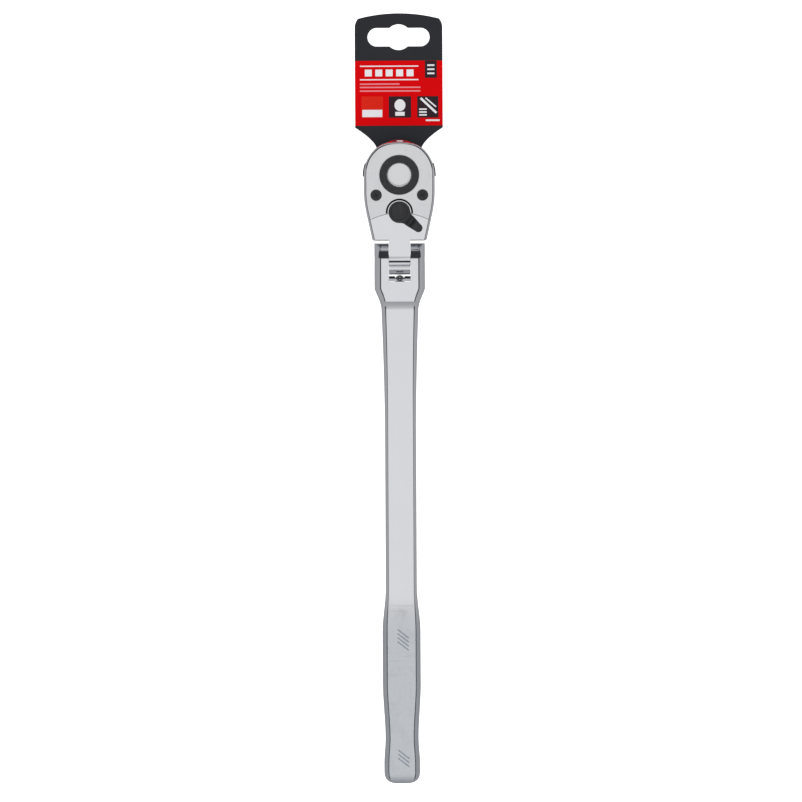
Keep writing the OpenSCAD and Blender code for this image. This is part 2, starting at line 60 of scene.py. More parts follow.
# ---------------------------------------------------------------------------
# The studio
# A plain white floor under soft, even light. The plating mirrors the studio,
# which is pale overhead and grey lower down, with a dark strip down each side
# and a dark screen beyond the head.

scene = bpy.context.scene
scene.view_settings.view_transform = "Standard"

world = bpy.data.worlds.new("studio")
scene.world = world
world.use_nodes = True
tree = world.node_tree
tree.nodes.clear()


def add_node(tree, kind, **values):
    """A node with its properties and input values set."""
    node = tree.nodes.new(kind)
    for key, value in values.items():
        if key in node.inputs:
            node.inputs[key].default_value = value
        else:
            setattr(node, key, value)
    return node


def set_ramp(ramp, stops):
    """Fills a colour ramp from (place, colour) pairs."""
    band = ramp.color_ramp
    while len(band.elements) > 1:
        band.elements.remove(band.elements[-1])
    for i, (place, colour) in enumerate(stops):
        stop = band.elements[0] if i == 0 else band.elements.new(place)
        stop.position = place
        stop.color = (*colour, 1.0)


def ramp_of(tree, value, stops):
    """A colour ramp read with a value."""
    ramp = add_node(tree, "ShaderNodeValToRGB")
    set_ramp(ramp, stops)
    tree.links.new(value, ramp.inputs["Fac"])
    return ramp.outputs["Color"]


def maths(tree, operation, *given):
    """A math node whose inputs may be sockets or values."""
    node = add_node(tree, "ShaderNodeMath", operation=operation)
    for socket, value in zip(node.inputs, given):
        if isinstance(value, bpy.types.NodeSocket):
            tree.links.new(value, socket)
        else:
            socket.default_value = value
    return node.outputs[0]


def mix_colours(tree, factor, a, b, blend="MIX"):
    """A colour mix whose three inputs may be sockets or values."""
    mix = add_node(tree, "ShaderNodeMix", data_type="RGBA", blend_type=blend)
    sockets = [mix.inputs[0]] + [s for s in mix.inputs if s.type == "RGBA"]
    for socket, given in zip(sockets, (factor, a, b)):
        if isinstance(given, bpy.types.NodeSocket):
            tree.links.new(given, socket)
        else:
            socket.default_value = given
    return next(s for s in mix.outputs if s.type == "RGBA")


def grey(value, blue=0.0):
    return (value, value, value + blue)


direction = add_node(tree, "ShaderNodeTexCoord")
split = add_node(tree, "ShaderNodeSeparateXYZ")
tree.links.new(direction.outputs["Generated"], split.inputs["Vector"])
sideways, forwards, upwards = (split.outputs[axis] for axis in "XYZ")
# brightest overhead, falling to a pale grey at the horizon and below
overhead = ramp_of(tree, maths(tree, "MULTIPLY_ADD", upwards, 0.5, 0.5), [
    (0.00, grey(0.36, 0.01)), (0.50, grey(0.41, 0.015)), (0.65, grey(0.45, 0.015)),
    (0.90, grey(0.60, 0.01)), (0.975, grey(0.76, 0.005)), (1.00, grey(0.81, 0.005))])
# a dark strip along both sides, and a dark screen beyond the head
strips = ramp_of(tree, maths(tree, "ABSOLUTE", sideways), [
    (0.20, grey(0.0)), (0.26, grey(1.0)), (0.56, grey(1.0)), (0.66, grey(0.35)), (0.95, grey(0.2))])
screen = ramp_of(tree, forwards, [(0.13, grey(0.0)), (0.20, grey(1.0)), (0.84, grey(1.0)), (0.93, grey(0.0))])
high_up = ramp_of(tree, upwards, [(0.25, grey(0.0)), (0.40, grey(1.0))])
shade = maths(tree, "MULTIPLY", maths(tree, "MAXIMUM", strips, screen), high_up)
dark_cloth = (0.035, 0.036, 0.042, 1.0)
mirrored = mix_colours(tree, shade, overhead, dark_cloth)
paths = add_node(tree, "ShaderNodeLightPath")
sky = mix_colours(tree, paths.outputs["Is Glossy Ray"], (1.0, 1.0, 1.0, 1.0), mirrored)
backdrop = add_node(tree, "ShaderNodeBackground", Strength=1.0)
output = add_node(tree, "ShaderNodeOutputWorld")
tree.links.new(sky, backdrop.inputs["Color"])
tree.links.new(backdrop.outputs["Background"], output.inputs["Surface"])

bpy.ops.object.select_all(action="DESELECT")
floor_level = cad_box[0].z - 0.4 * MM
bpy.ops.mesh.primitive_plane_add(size=6.0, location=(0.0, -0.15, floor_level))
floor = bpy.context.object
floor.name = "floor"
floor.visible_glossy = False
floor_finish = bpy.data.materials.new("white floor")
floor_finish.use_nodes = True
shader = floor_finish.node_tree.nodes["Principled BSDF"]
shader.inputs["Base Color"].default_value = (0.93, 0.93, 0.93, 1.0)
shader.inputs["Roughness"].default_value = 0.9
shader.inputs["Specular IOR Level"].default_value = 0.0
shader.inputs["Emission Color"].default_value = (1.0, 1.0, 1.0, 1.0)
shader.inputs["Emission Strength"].default_value = 0.8
floor.data.materials.append(floor_finish)

# The camera looks straight down on the lever side from far off. FIELD is the
# width seen, in metres, and the tool lies a little askew in it.
FIELD, LENS, SENSOR = 0.5293, 400.0, 36.0
CAMERA_X, CAMERA_Y, ASKEW = 0.0004, -0.149, -0.295
camera_data = bpy.data.cameras.new("camera")
camera_data.lens = LENS
camera_data.sensor_width = SENSOR
camera_data.clip_end = 20.0
camera = bpy.data.objects.new("camera", camera_data)
scene.collection.objects.link(camera)
mid_z = (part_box("head_body")[0].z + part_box("head_body")[1].z) / 2
camera.location = (CAMERA_X, CAMERA_Y, mid_z + FIELD * LENS / SENSOR)
camera.rotation_euler = (0.0, 0.0, math.radians(ASKEW))
scene.camera = camera


# ---------------------------------------------------------------------------
# Handle
# One forging in bright plate: a fork with round arm ends, a slim shank and a
# swelling grip with a satin face. The flex slot, the pin bore and the bore of
# the detent ball are cut into it, and two bands of slanting grooves.

def clear_selection():
    if bpy.context.mode != "OBJECT":
        bpy.ops.object.mode_set(mode="OBJECT")
    bpy.ops.object.select_all(action="DESELECT")


def new_piece(name, add, **place):
    """Adds a primitive and names it."""
    clear_selection()
    add(**place)
    piece = bpy.context.object
    piece.name = piece.data.name = name
    return piece


def pick(piece):
    """Makes the piece the only one selected."""
    clear_selection()
    piece.select_set(True)
    bpy.context.view_layer.objects.active = piece


def settle(piece):
    """Puts the piece's object at the origin, unturned and unscaled."""
    pick(piece)
    bpy.ops.object.transform_apply(location=True, rotation=True, scale=True)


def block(name, size, centre, turn=(0.0, 0.0, 0.0)):
    """A box of the given size, turned about its centre."""
    box = new_piece(name, bpy.ops.mesh.primitive_cube_add, size=1.0)
    box.scale = size
    box.rotation_euler = turn
    box.location = centre
    settle(box)
    return box


def rod_along(axis, radius, length, centre, vertices=64):
    """A round bar along one axis."""
    rod = new_piece("cutter", bpy.ops.mesh.primitive_cylinder_add,
                    vertices=vertices, radius=radius, depth=length)
    turns = {"x": (0.0, math.pi / 2, 0.0), "y": (math.pi / 2, 0.0, 0.0), "z": (0.0, 0.0, 0.0)}
    rod.rotation_euler = turns[axis]
    rod.location = centre
    settle(rod)
    return rod


def cone_at(name, radius1, radius2, depth, centre, vertices=128):
    """A cone cut flat at both ends, radius1 below and radius2 above."""
    cone = new_piece(name, bpy.ops.mesh.primitive_cone_add, vertices=vertices,
                     radius1=radius1, radius2=radius2, depth=depth)
    cone.location = centre
    settle(cone)
    return cone


def apply_modifiers(piece):
    pick(piece)
    for modifier in list(piece.modifiers):
        bpy.ops.object.modifier_apply(modifier=modifier.name)


def cut(piece, cutters, how="DIFFERENCE"):
    """Cuts the cutters out of the piece, or joins them to it, and removes them."""
    for cutter in cutters:
        modifier = piece.modifiers.new("cut", "BOOLEAN")
        modifier.operation = how
        modifier.solver = "EXACT"
        modifier.object = cutter
        apply_modifiers(piece)
        bpy.data.objects.remove(cutter)


def soften(piece, width, segments=2, angle=40.0):
    """Rounds the sharp edges with a bevel, and smooths the rest."""
    modifier = piece.modifiers.new("soften", "BEVEL")
    modifier.width = width
    modifier.segments = segments
    modifier.limit_method = "ANGLE"
    modifier.angle_limit = math.radians(angle)
    modifier.use_clamp_overlap = True
    modifier.harden_normals = False
    apply_modifiers(piece)
    smooth(piece)


def smooth(piece, angle=30.0):
    """Smooth shading up to the given angle, with the flat faces kept flat."""
    pick(piece)
    bpy.ops.object.shade_smooth_by_angle(angle=math.radians(angle), keep_sharp_edges=False)
    weighted = piece.modifiers.new("weighted", "WEIGHTED_NORMAL")
    weighted.keep_sharp = True
    weighted.weight = 60
    apply_modifiers(piece)


def tidy_mesh(piece, distance=0.00001):
    """Merges doubles and turns every face outwards."""
    pick(piece)
    bpy.ops.object.mode_set(mode="EDIT")
    bpy.ops.mesh.select_all(action="SELECT")
    bpy.ops.mesh.remove_doubles(threshold=distance)
    bpy.ops.mesh.normals_make_consistent(inside=False)
    bpy.ops.object.mode_set(mode="OBJECT")


def wrapped_grid(name, around, along, place):
    """A grid rolled into a closed skin. place(u, v) gives each point, u once round and v along."""
    piece = new_piece(name, bpy.ops.mesh.primitive_grid_add,
                      x_subdivisions=around, y_subdivisions=along, size=2.0)
    for vertex in piece.data.vertices:
        u = (vertex.co.x + 1.0) / 2.0
        v = (vertex.co.y + 1.0) / 2.0
        vertex.co = place(u, v)
    tidy_mesh(piece)
    bpy.ops.object.mode_set(mode="EDIT")
    bpy.ops.mesh.select_all(action="SELECT")
    bpy.ops.mesh.fill_holes(sides=0)
    bpy.ops.mesh.normals_make_consistent(inside=False)
    bpy.ops.object.mode_set(mode="OBJECT")
    return piece


def blend_values(a, b, t):
    return a + (b - a) * t


def ease(t):
    t = min(1.0, max(0.0, t))
    return t * t * (3.0 - 2.0 * t)


def part_way(s, a, b):
    return min(1.0, max(0.0, (s - a) / (b - a)))


# the handle's sizes in millimetres, its places measured from the flex pin
pivot_low, pivot_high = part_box("flex_pin")
pivot = Vector((0.0, (pivot_low.y + pivot_high.y) / 2, (pivot_low.z + pivot_high.z) / 2))
handle_low, handle_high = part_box("handle")
handle_length = (pivot.y - handle_low.y) / MM
fork_width = (handle_high.x - handle_low.x) / MM
fork_thickness = (handle_high.z - handle_low.z) / MM
arm_reach = (handle_high.y - pivot.y) / MM
fork_length = 18.5
neck_width, shank_width, grip_width = 24.4, 20.6, 25.1
waist_width, butt_width = 21.9, 23.7
shank_thickness, grip_thickness = 12.2, 15.2
neck_start = fork_length + 15
taper_end = fork_length + 90
step_start = fork_length + 8.9
step_end = step_start + 6
flare_start = handle_length - 130
flare_end = flare_start + 30
waist_start = handle_length - 66.5
waist_end = handle_length - 30
butt_swell = handle_length - 13
butt_start = handle_length - 10
BUTT_POWER = 3.2


def end_round(s):
    """How much of its size the section keeps in the rounded butt."""
    return max(0.0, 1 - part_way(s, butt_start, handle_length) ** BUTT_POWER) ** (1 / BUTT_POWER)


def half_width(s):
    """Half the handle's width, s millimetres from the pivot."""
    if s < fork_length:
        width = fork_width
    elif s < neck_start:
        width = blend_values(fork_width, neck_width, ease(part_way(s, fork_length, neck_start) ** 0.75))
    elif s < taper_end:
        t = part_way(s, neck_start, taper_end)
        width = blend_values(neck_width, shank_width, blend_values(t, t * (2 - t), 0.6))
    elif s < waist_start:
        width = blend_values(shank_width, grip_width, ease(part_way(s, flare_start, flare_end)))
    elif s < waist_end:
        width = blend_values(grip_width, waist_width, ease(part_way(s, waist_start, waist_end)))
    else:
        width = blend_values(waist_width, butt_width, ease(part_way(s, waist_end, butt_swell)))
    return 0.5 * width * end_round(s)


def half_thickness(s):
    """Half the thickness: round arm ends, a step down behind the fork, and the thicker grip."""
    if s < 0:
        thickness = fork_thickness * math.sqrt(max(0.000001, 1 - (s / arm_reach) ** 2))
    elif s < step_end:
        rise = (1 - part_way(s, step_start, step_end)) ** 2
        thickness = blend_values(shank_thickness, fork_thickness, rise)
    else:
        thickness = blend_values(shank_thickness, grip_thickness, ease(part_way(s, flare_start, flare_end)))
    return 0.5 * thickness * end_round(s)


def edge_band(s):
    """Width of the rounded band beside the flat face."""
    if s < neck_start:
        band = blend_values(4.8, 3.4, part_way(s, fork_length + 4, neck_start))
    elif s < taper_end:
        band = blend_values(3.4, 2.2, part_way(s, neck_start, taper_end))
    else:
        band = blend_values(2.2, 3.6, ease(part_way(s, flare_start, flare_end)))
    return band * end_round(s)


def evenly(start, end, count):
    """Places from start to end in equal steps, without the start itself."""
    return [blend_values(start, end, k / count) for k in range(1, count + 1)]


def handle_stations():
    """Distances from the pivot, close together where the shape turns quickly."""
    stations = [-arm_reach * math.cos(math.radians(k * 6)) for k in range(16)]
    stations += evenly(0.0, fork_length, 5) + evenly(fork_length, neck_start, 20)
    stations += evenly(neck_start, taper_end, 20) + evenly(taper_end, flare_start, 12)
    stations += evenly(flare_start, flare_end, 20) + evenly(flare_end, waist_start, 8)
    stations += evenly(waist_start, waist_end, 20) + evenly(waist_end, butt_swell, 10)
    stations += evenly(butt_swell, butt_start, 3)
    stations += [butt_start + 10 * math.sin(math.radians(k * 6)) for k in range(1, 15)]
    return stations


CORNER_STEPS = 9
BAND_DEPTH = 0.7


def handle_section(s):
    """The section's points, once round: flat faces and sides joined by quarter ellipses."""
    w, t = half_width(s), half_thickness(s)
    band = min(edge_band(s), w * 0.9)
    drop = t * BAND_DEPTH
    quarter = []
    for k in range(CORNER_STEPS + 1):
        a = math.radians(90 * k / CORNER_STEPS)
        quarter.append((w - band + band * math.cos(a), t - drop + drop * math.sin(a)))
    left_up = [(-x, z) for x, z in reversed(quarter)]
    left_down = [(-x, -z) for x, z in quarter]
    right_down = [(x, -z) for x, z in reversed(quarter)]
    return quarter + left_up + left_down + right_down


stations = handle_stations()
sections = [handle_section(s) for s in stations]
points_round = len(sections[0])


def handle_point(u, v):
    row = round(v * (len(stations) - 1))
    x, z = sections[row][round(u * points_round) % points_round]
    return Vector((x * MM, pivot.y - stations[row] * MM, pivot.z + z * MM))


handle = wrapped_grid("handle_forging", points_round, len(stations) - 1, handle_point)

ball_low, ball_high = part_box("flex_ball")
ball_radius = (ball_high.x - ball_low.x) / 2
tongue_half = 7.05 * MM
slot_half = tongue_half + 0.15 * MM
crotch_middle = 10.6 * MM
crotch_face = crotch_middle + 3.8 * MM
slot = block("slot", (slot_half * 2, 0.04, 0.03), (0.0, pivot.y + 0.02 - crotch_face, pivot.z))
# the slot's floor stands up in a low ridge at mid-thickness
ridge_depth = crotch_face - 0.4 * MM - crotch_middle
ridge_y = pivot.y - crotch_middle - ridge_depth / 2
ridge = block("ridge", (0.03, ridge_depth, 1.6 * MM), (0.0, ridge_y, pivot.z))
for vertex in ridge.data.vertices:
    if vertex.co.y < ridge_y:
        vertex.co.z = pivot.z + math.copysign(ball_radius, vertex.co.z - pivot.z)
cut(slot, [ridge])

# the pin's bore with a shallow spot face at each end, and the ball's bore
pin_radius = 3.4 * MM
spot_face = fork_width / 2 * MM - 0.5 * MM
ball_bore = Vector((0, pivot.y - crotch_middle - 8.5 * MM, pivot.z))
cutters = [slot, rod_along("x", pin_radius, 0.06, pivot)]
for side in (-1, 1):
    cutters.append(rod_along("x", pin_radius + MM, 0.01, pivot + Vector((side * (spot_face + 0.005), 0, 0))))
cutters.append(rod_along("y", ball_radius + 0.08 * MM, 21 * MM, ball_bore))
# two bands of slanting grooves on the grip's face, each cut by the edge of a square bar
GROOVE_LENGTH, GROOVE_SIDE, GROOVE_PITCH, GROOVE_SLANT = 9.2, 0.95, 2.7, -38
grip_face = pivot.z + grip_thickness / 2 * MM
for first, count in ((handle_length - 99, 4), (handle_length - 19.5, 3)):
    for row in range(count):
        centre = (1.0 * MM, pivot.y - (first + row * GROOVE_PITCH) * MM, grip_face + 0.2 * MM)
        size = (GROOVE_LENGTH * MM, GROOVE_SIDE * MM, GROOVE_SIDE * MM)
        cutters.append(block("groove", size, centre, (math.radians(45), 0.0, math.radians(GROOVE_SLANT))))
cut(handle, cutters)
soften(handle, 0.35 * MM, segments=2, angle=50)


def make_group(name, inputs, outputs):
    """An empty shader group with named sockets."""
    group = bpy.data.node_groups.new(name, "ShaderNodeTree")
    for label, kind, value in inputs:
        socket = group.interface.new_socket(label, in_out="INPUT", socket_type=kind)
        if value is not None:
            socket.default_value = value
    for label, kind in outputs:
        group.interface.new_socket(label, in_out="OUTPUT", socket_type=kind)
    return group, group.nodes.new("NodeGroupInput"), group.nodes.new("NodeGroupOutput")


def remap(tree, value, low, high, from_low=0.0, from_high=1.0):
    """Stretches a value onto a new range."""
    stretch = add_node(tree, "ShaderNodeMapRange")
    stretch.inputs["From Min"].default_value = from_low
    stretch.inputs["From Max"].default_value = from_high
    tree.links.new(value, stretch.inputs["Value"])
    for name, given in (("To Min", low), ("To Max", high)):
        if isinstance(given, bpy.types.NodeSocket):
            tree.links.new(given, stretch.inputs[name])
        else:
            stretch.inputs[name].default_value = given
    return stretch.outputs["Result"]


def noise(tree, place, scale, detail=3.0, roughness=0.55):
    texture = add_node(tree, "ShaderNodeTexNoise", Scale=scale, Detail=detail, Roughness=roughness)
    tree.links.new(place, texture.inputs["Vector"])
    return texture.outputs["Fac"]


# Metal wear: a faint cloudy tint, handling smudges, and fine scratches two ways.
metal_wear, inside, outside = make_group(
    "metal wear",
    [("Colour", "NodeSocketColor", (0.8, 0.8, 0.8, 1)), ("Roughness", "NodeSocketFloat", 0.1),
     ("Scratches", "NodeSocketFloat", 0.3), ("Smudges", "NodeSocketFloat", 0.3)],
    [("Colour", "NodeSocketColor"), ("Roughness", "NodeSocketFloat"), ("Height", "NodeSocketFloat")])
place = add_node(metal_wear, "ShaderNodeTexCoord").outputs["Object"]
cloud = noise(metal_wear, place, 60.0)
smudge = remap(metal_wear, noise(metal_wear, place, 140.0, 5.0), 0.0, 1.0, 0.48, 0.72)
scratch_lines = []
for turn, stretch in ((0.5, (40.0, 1400.0, 1400.0)), (-1.1, (1600.0, 55.0, 1600.0))):
    lay = add_node(metal_wear, "ShaderNodeMapping")
    lay.inputs["Rotation"].default_value = (0.2, 0.1, turn)
    lay.inputs["Scale"].default_value = stretch
    metal_wear.links.new(place, lay.inputs["Vector"])
    streak = noise(metal_wear, lay.outputs["Vector"], 1.0, 2.0)
    scratch_lines.append(remap(metal_wear, streak, 0.0, 1.0, 0.62, 0.74))
both = maths(metal_wear, "MAXIMUM", *scratch_lines)
scratched = maths(metal_wear, "MULTIPLY", both, inside.outputs["Scratches"])
smudged = maths(metal_wear, "MULTIPLY", smudge, inside.outputs["Smudges"])
tinted = mix_colours(metal_wear, remap(metal_wear, cloud, 0.0, 0.5), inside.outputs["Colour"],
                     (0.93, 0.95, 1.0, 1), "MULTIPLY")
worn = mix_colours(metal_wear, remap(metal_wear, scratched, 0.0, 0.35), tinted, (0.55, 0.56, 0.58, 1))
rougher = maths(metal_wear, "MULTIPLY_ADD", smudged, 0.18, inside.outputs["Roughness"])
roughest = maths(metal_wear, "MULTIPLY_ADD", scratched, 0.2, rougher)
metal_wear.links.new(worn, outside.inputs["Colour"])
metal_wear.links.new(roughest, outside.inputs["Roughness"])
metal_wear.links.new(remap(metal_wear, scratched, 0.0, -1.0), outside.inputs["Height"])


def new_finish(name, colour, roughness, metallic, group, **amounts):
    """A material whose colour, roughness and bump come from a shared group, with its nodes."""
    material = bpy.data.materials.new(name)
    material.use_nodes = True
    tree = material.node_tree
    shader = tree.nodes["Principled BSDF"]
    shader.inputs["Metallic"].default_value = metallic
    marks = tree.nodes.new("ShaderNodeGroup")
    marks.node_tree = group
    marks.inputs["Colour"].default_value = (*colour, 1.0)
    marks.inputs["Roughness"].default_value = roughness
    bump_height = amounts.pop("bump", 0.02 * MM)
    for label, value in amounts.items():
        marks.inputs[label].default_value = value
    bump = add_node(tree, "ShaderNodeBump", Strength=0.5, Distance=bump_height)
    tree.links.new(marks.outputs["Colour"], shader.inputs["Base Color"])
    tree.links.new(marks.outputs["Roughness"], shader.inputs["Roughness"])
    tree.links.new(marks.outputs["Height"], bump.inputs["Height"])
    tree.links.new(bump.outputs["Normal"], shader.inputs["Normal"])
    return material, tree, shader, marks, bump


def dress(piece, material):
    piece.data.materials.clear()
    piece.data.materials.append(material)


# Bright plate, with a satin stretch along the grip.
PLATE, SATIN = (0.84, 0.845, 0.86), (0.66, 0.69, 0.72)
handle_plate, tree, _, marks, _ = new_finish(
    "handle plate", PLATE, 0.07, 1.0, metal_wear, Scratches=0.25, Smudges=0.3)
place = add_node(tree, "ShaderNodeTexCoord").outputs["Object"]
split = add_node(tree, "ShaderNodeSeparateXYZ")
tree.links.new(place, split.inputs["Vector"])
grip_mask = add_node(tree, "ShaderNodeMapRange", interpolation_type="SMOOTHSTEP")
grip_mask.inputs["From Min"].default_value = pivot.y - (flare_start + 6) * MM
grip_mask.inputs["From Max"].default_value = pivot.y - (flare_start + 34) * MM
tree.links.new(split.outputs["Y"], grip_mask.inputs["Value"])
grip_tint = mix_colours(tree, grip_mask.outputs["Result"], (*PLATE, 1), (*SATIN, 1))
tree.links.new(grip_tint, marks.inputs["Colour"])
tree.links.new(remap(tree, grip_mask.outputs["Result"], 0.07, 0.2), marks.inputs["Roughness"])
dress(handle, handle_plate)
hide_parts("handle")
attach(handle, "handle")


# ---------------------------------------------------------------------------
# Head
# A forged teardrop in bright plate with a rounded band round both faces and a
# tongue that carries seven detent grooves. It is hollow for the gear and pawl.

head_low, head_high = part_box("head_body")
back_z, front_z = head_low.z, head_high.z - 0.1 * MM
# the teardrop's radius, its reach below the drive's axis, and its sides' lean in degrees
HEAD_RADIUS, HEAD_DROP, HEAD_TAPER = 23.4, 43.1, 12.3
# how far the band draws the face in and how deep it goes: sides, foot and crown
EDGE, EDGE_DEPTH, FOOT_EDGE = 1.8, 2.16, 0.45
CROWN_EDGE, CROWN_DEPTH, CROWN_POWER = 3.1, 5.2, 1.3
CORNER, CROWN_START, CROWN_TURN = 1.8, 50, 40


def drawn_in(depth, width, height, power=2.0):
    """How far a band, width by height, has drawn in at a depth below the face."""
    if depth >= height:
        return 0.0
    return width * (1 - (1 - (1 - depth / height) ** power) ** (1 / power))


def head_outline(depth=0.0, extra=0.0):
    """Points round the teardrop in millimetres, counter-clockwise from its lower right corner."""
    side = drawn_in(depth, EDGE, EDGE_DEPTH) + extra
    foot = drawn_in(depth, FOOT_EDGE, EDGE_DEPTH) + extra
    crown = drawn_in(depth, CROWN_EDGE, CROWN_DEPTH, CROWN_POWER) + extra
    taper = math.radians(HEAD_TAPER)
    side_radius, side_y = HEAD_RADIUS * 3, -HEAD_RADIUS * 0.43
    side_x = HEAD_RADIUS - side_radius
    # where the bowed side runs out into its straight lower stretch
    bow_x = HEAD_RADIUS - side_radius * (1 - math.cos(taper))
    bow_y = side_y - side_radius * math.sin(taper)
    corner = max(0.05, CORNER - side)
    corner_y = -HEAD_DROP + foot + corner
    corner_x = bow_x + (math.sin(taper) * (corner_y - bow_y) - side - corner) / math.cos(taper)
    half = []
    for k in range(7):
        a = blend_values(-math.pi / 2, -taper, k / 6)
        half.append((corner_x + corner * math.cos(a), corner_y + corner * math.sin(a)))
    for k in range(6):
        a = blend_values(-taper, 0.0, k / 5)
        bow = side_radius - side
        half.append((side_x + bow * math.cos(a), side_y + bow * math.sin(a)))
    for k in range(31):
        a = blend_values(0.0, math.pi / 2, k / 30)
        radius = HEAD_RADIUS - blend_values(side, crown, ease((math.degrees(a) - CROWN_START) / CROWN_TURN))
        half.append((radius * math.cos(a), radius * math.sin(a)))
    return half + [(-x, y) for x, y in reversed(half[:-1])]


def flat_piece(name, outline, z0, z1):
    """A slab with the given outline in millimetres, from z0 to z1 in metres."""
    piece = new_piece(name, bpy.ops.mesh.primitive_circle_add,
                      vertices=len(outline), radius=1.0, fill_type="NGON")
    for vertex, (x, y) in zip(piece.data.vertices, outline):
        vertex.co = (x * MM, y * MM, z0)
    bpy.ops.object.mode_set(mode="EDIT")
    bpy.ops.mesh.select_all(action="SELECT")
    bpy.ops.mesh.extrude_region_move(TRANSFORM_OT_translate={"value": (0.0, 0.0, z1 - z0)})
    bpy.ops.mesh.select_all(action="SELECT")
    bpy.ops.mesh.normals_make_consistent(inside=False)
    bpy.ops.object.mode_set(mode="OBJECT")
    return piece


# rings of points from the back face to the front one, close together in the bands
EDGE_STEPS = 8
depths = [EDGE_DEPTH * (1 - math.cos(math.radians(90 * k / EDGE_STEPS))) for k in range(EDGE_STEPS + 1)]
depths += evenly(EDGE_DEPTH, CROWN_DEPTH, 5)
head_levels = [back_z + depth * MM for depth in depths]
head_levels += [front_z - depth * MM for depth in reversed(depths)]
head_rings = [head_outline(depth) for depth in depths]
head_rings += list(reversed(head_rings))
head_count = len(head_rings[0])


def head_point(u, v):
    level = round(v * (len(head_levels) - 1))
    x, y = head_rings[level][round(u * head_count) % head_count]
    return Vector((x * MM, y * MM, head_levels[level]))


head = wrapped_grid("head_forging", head_count, len(head_levels) - 1, head_point)
tongue_top = -(HEAD_DROP - 5) * MM
tongue = block("tongue", (2 * tongue_half, tongue_top - pivot.y, front_z - back_z),
               (0.0, (tongue_top + pivot.y) / 2, mid_z))
knuckle_radius = (front_z - back_z) / 2 + 0.1 * MM
knuckle = rod_along("x", knuckle_radius, 2 * tongue_half, pivot, 160)
cut(tongue, [knuckle], "UNION")
cut(head, [tongue], "UNION")

plate_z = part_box("cover_plate")[0].z
pocket_floor = back_z + 3.2 * MM
lever_axis = Vector((0.0, -24.6 * MM, 0.0))
shaft_bore = 3.3 * MM
seam_radius = 43.5 * MM
seam_centre = Vector((0.0, lever_axis.y - 0.3 * MM - seam_radius, 0.0))
screw_x, screw_y = 15.3 * MM, -13.3 * MM


def plate_blank(name, gap, z0, z1):
    """The cover plate's outline as a slab, its lower edge cut by the seam's arc."""
    blank = flat_piece(name, head_outline(0.0, 0.2 + gap), z0, z1)
    arc = rod_along("z", seam_radius + gap * MM, 0.05, seam_centre + Vector((0, 0, plate_z)), 360)
    cut(blank, [arc])
    return blank


# room for the gear, the pawl and the pawl's horns
room_height, room_z = plate_z - pocket_floor, (plate_z + pocket_floor) / 2
pocket = rod_along("z", 16.4 * MM, room_height + 0.2 * MM, (0, 0, room_z), 128)
pawl_room = block("pawl_room", (24.6 * MM, 12.0 * MM, room_height + 0.15 * MM), (0.0, -13.6 * MM, room_z))
horn_room = block("horn_room", (12.8 * MM, 8.8 * MM, room_height + 0.1 * MM), (0.0, -19.4 * MM, room_z))
cut(pocket, [pawl_room, horn_room], "UNION")
# the body's edge along the seam slopes away, which draws a dark line
seam_face = seam_centre + Vector((0, 0, front_z))
seam_edge = rod_along("z", seam_radius + 0.1 * MM, 0.46 * MM, seam_face, 360)
cut(seam_edge, [cone_at("seam_slope", seam_radius + 0.65 * MM, seam_radius - 1.55 * MM, MM, seam_face, 360)])
cutters = [pocket, plate_blank("seat", 0.0, plate_z, plate_z + 4 * MM), seam_edge]
# bores for the gear's boss, the lever's shaft and its seal, and the two screws
cutters.append(rod_along("z", 10.75 * MM, 0.012, (0, 0, back_z), 128))
cutters.append(rod_along("z", shaft_bore, 0.03, lever_axis + Vector((0, 0, pocket_floor + 15.6 * MM)), 48))
cutters.append(rod_along("z", 5.0 * MM, 0.003, lever_axis + Vector((0, 0, front_z + 0.2 * MM))))
for side in (-1, 1):
    cutters.append(rod_along("z", 1.9 * MM, 0.02, (side * screw_x, screw_y, back_z + 17 * MM), 32))
# the detent grooves across the knuckle
DETENT_PITCH, DETENT_DEPTH = 30, 0.8
reach = knuckle_radius + ball_radius - DETENT_DEPTH * MM
for step in range(-3, 4):
    a = math.radians(step * DETENT_PITCH)
    centre = pivot + Vector((0.0, -reach * math.cos(a), reach * math.sin(a)))
    cutters.append(rod_along("x", ball_radius + 0.05 * MM, 0.03, centre, 96))
cut(head, cutters)
soften(head, 0.12 * MM, segments=2, angle=50)

head_plate = new_finish("head plate", (0.85, 0.85, 0.865), 0.06, 1.0, metal_wear, Scratches=0.2, Smudges=0.2)
dress(head, head_plate[0])
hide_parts("head_body")
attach(head, "head")


# ---------------------------------------------------------------------------
# Cover plate
# A satin-plated plate let in flush with the face, held by two screws. Its
# lower edge is a curved seam, with a sloping recess round the lever's hub.

cover = plate_blank("cover_plate_steel", 0.2, plate_z, front_z)
recess = cone_at("recess", 7.8 * MM, 9.05 * MM, 1.4 * MM, lever_axis + Vector((0, 0, front_z - 0.6 * MM)))
cutters = [rod_along("z", 13.25 * MM, 0.03, (0, 0, front_z), 160), recess,
           rod_along("z", shaft_bore, 0.03, lever_axis + Vector((0, 0, front_z)), 48)]
for side in (-1, 1):
    cutters.append(rod_along("z", 1.95 * MM, 0.03, (side * screw_x, screw_y, front_z), 48))
    cutters.append(rod_along("z", 3.78 * MM, 0.003, (side * screw_x, screw_y, front_z), 96))
cut(cover, cutters)
soften(cover, 0.14 * MM, segments=2, angle=35)

cover_steel = new_finish(
    "satin cover steel", (0.79, 0.79, 0.80), 0.13, 1.0, metal_wear, Scratches=0.35, Smudges=0.2)
dress(cover, cover_steel[0])
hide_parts("cover_plate")
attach(cover, "head")


# ---------------------------------------------------------------------------
# Cover screws
# Two black-oxide flat-headed screws with a cross recess, sunk flush.

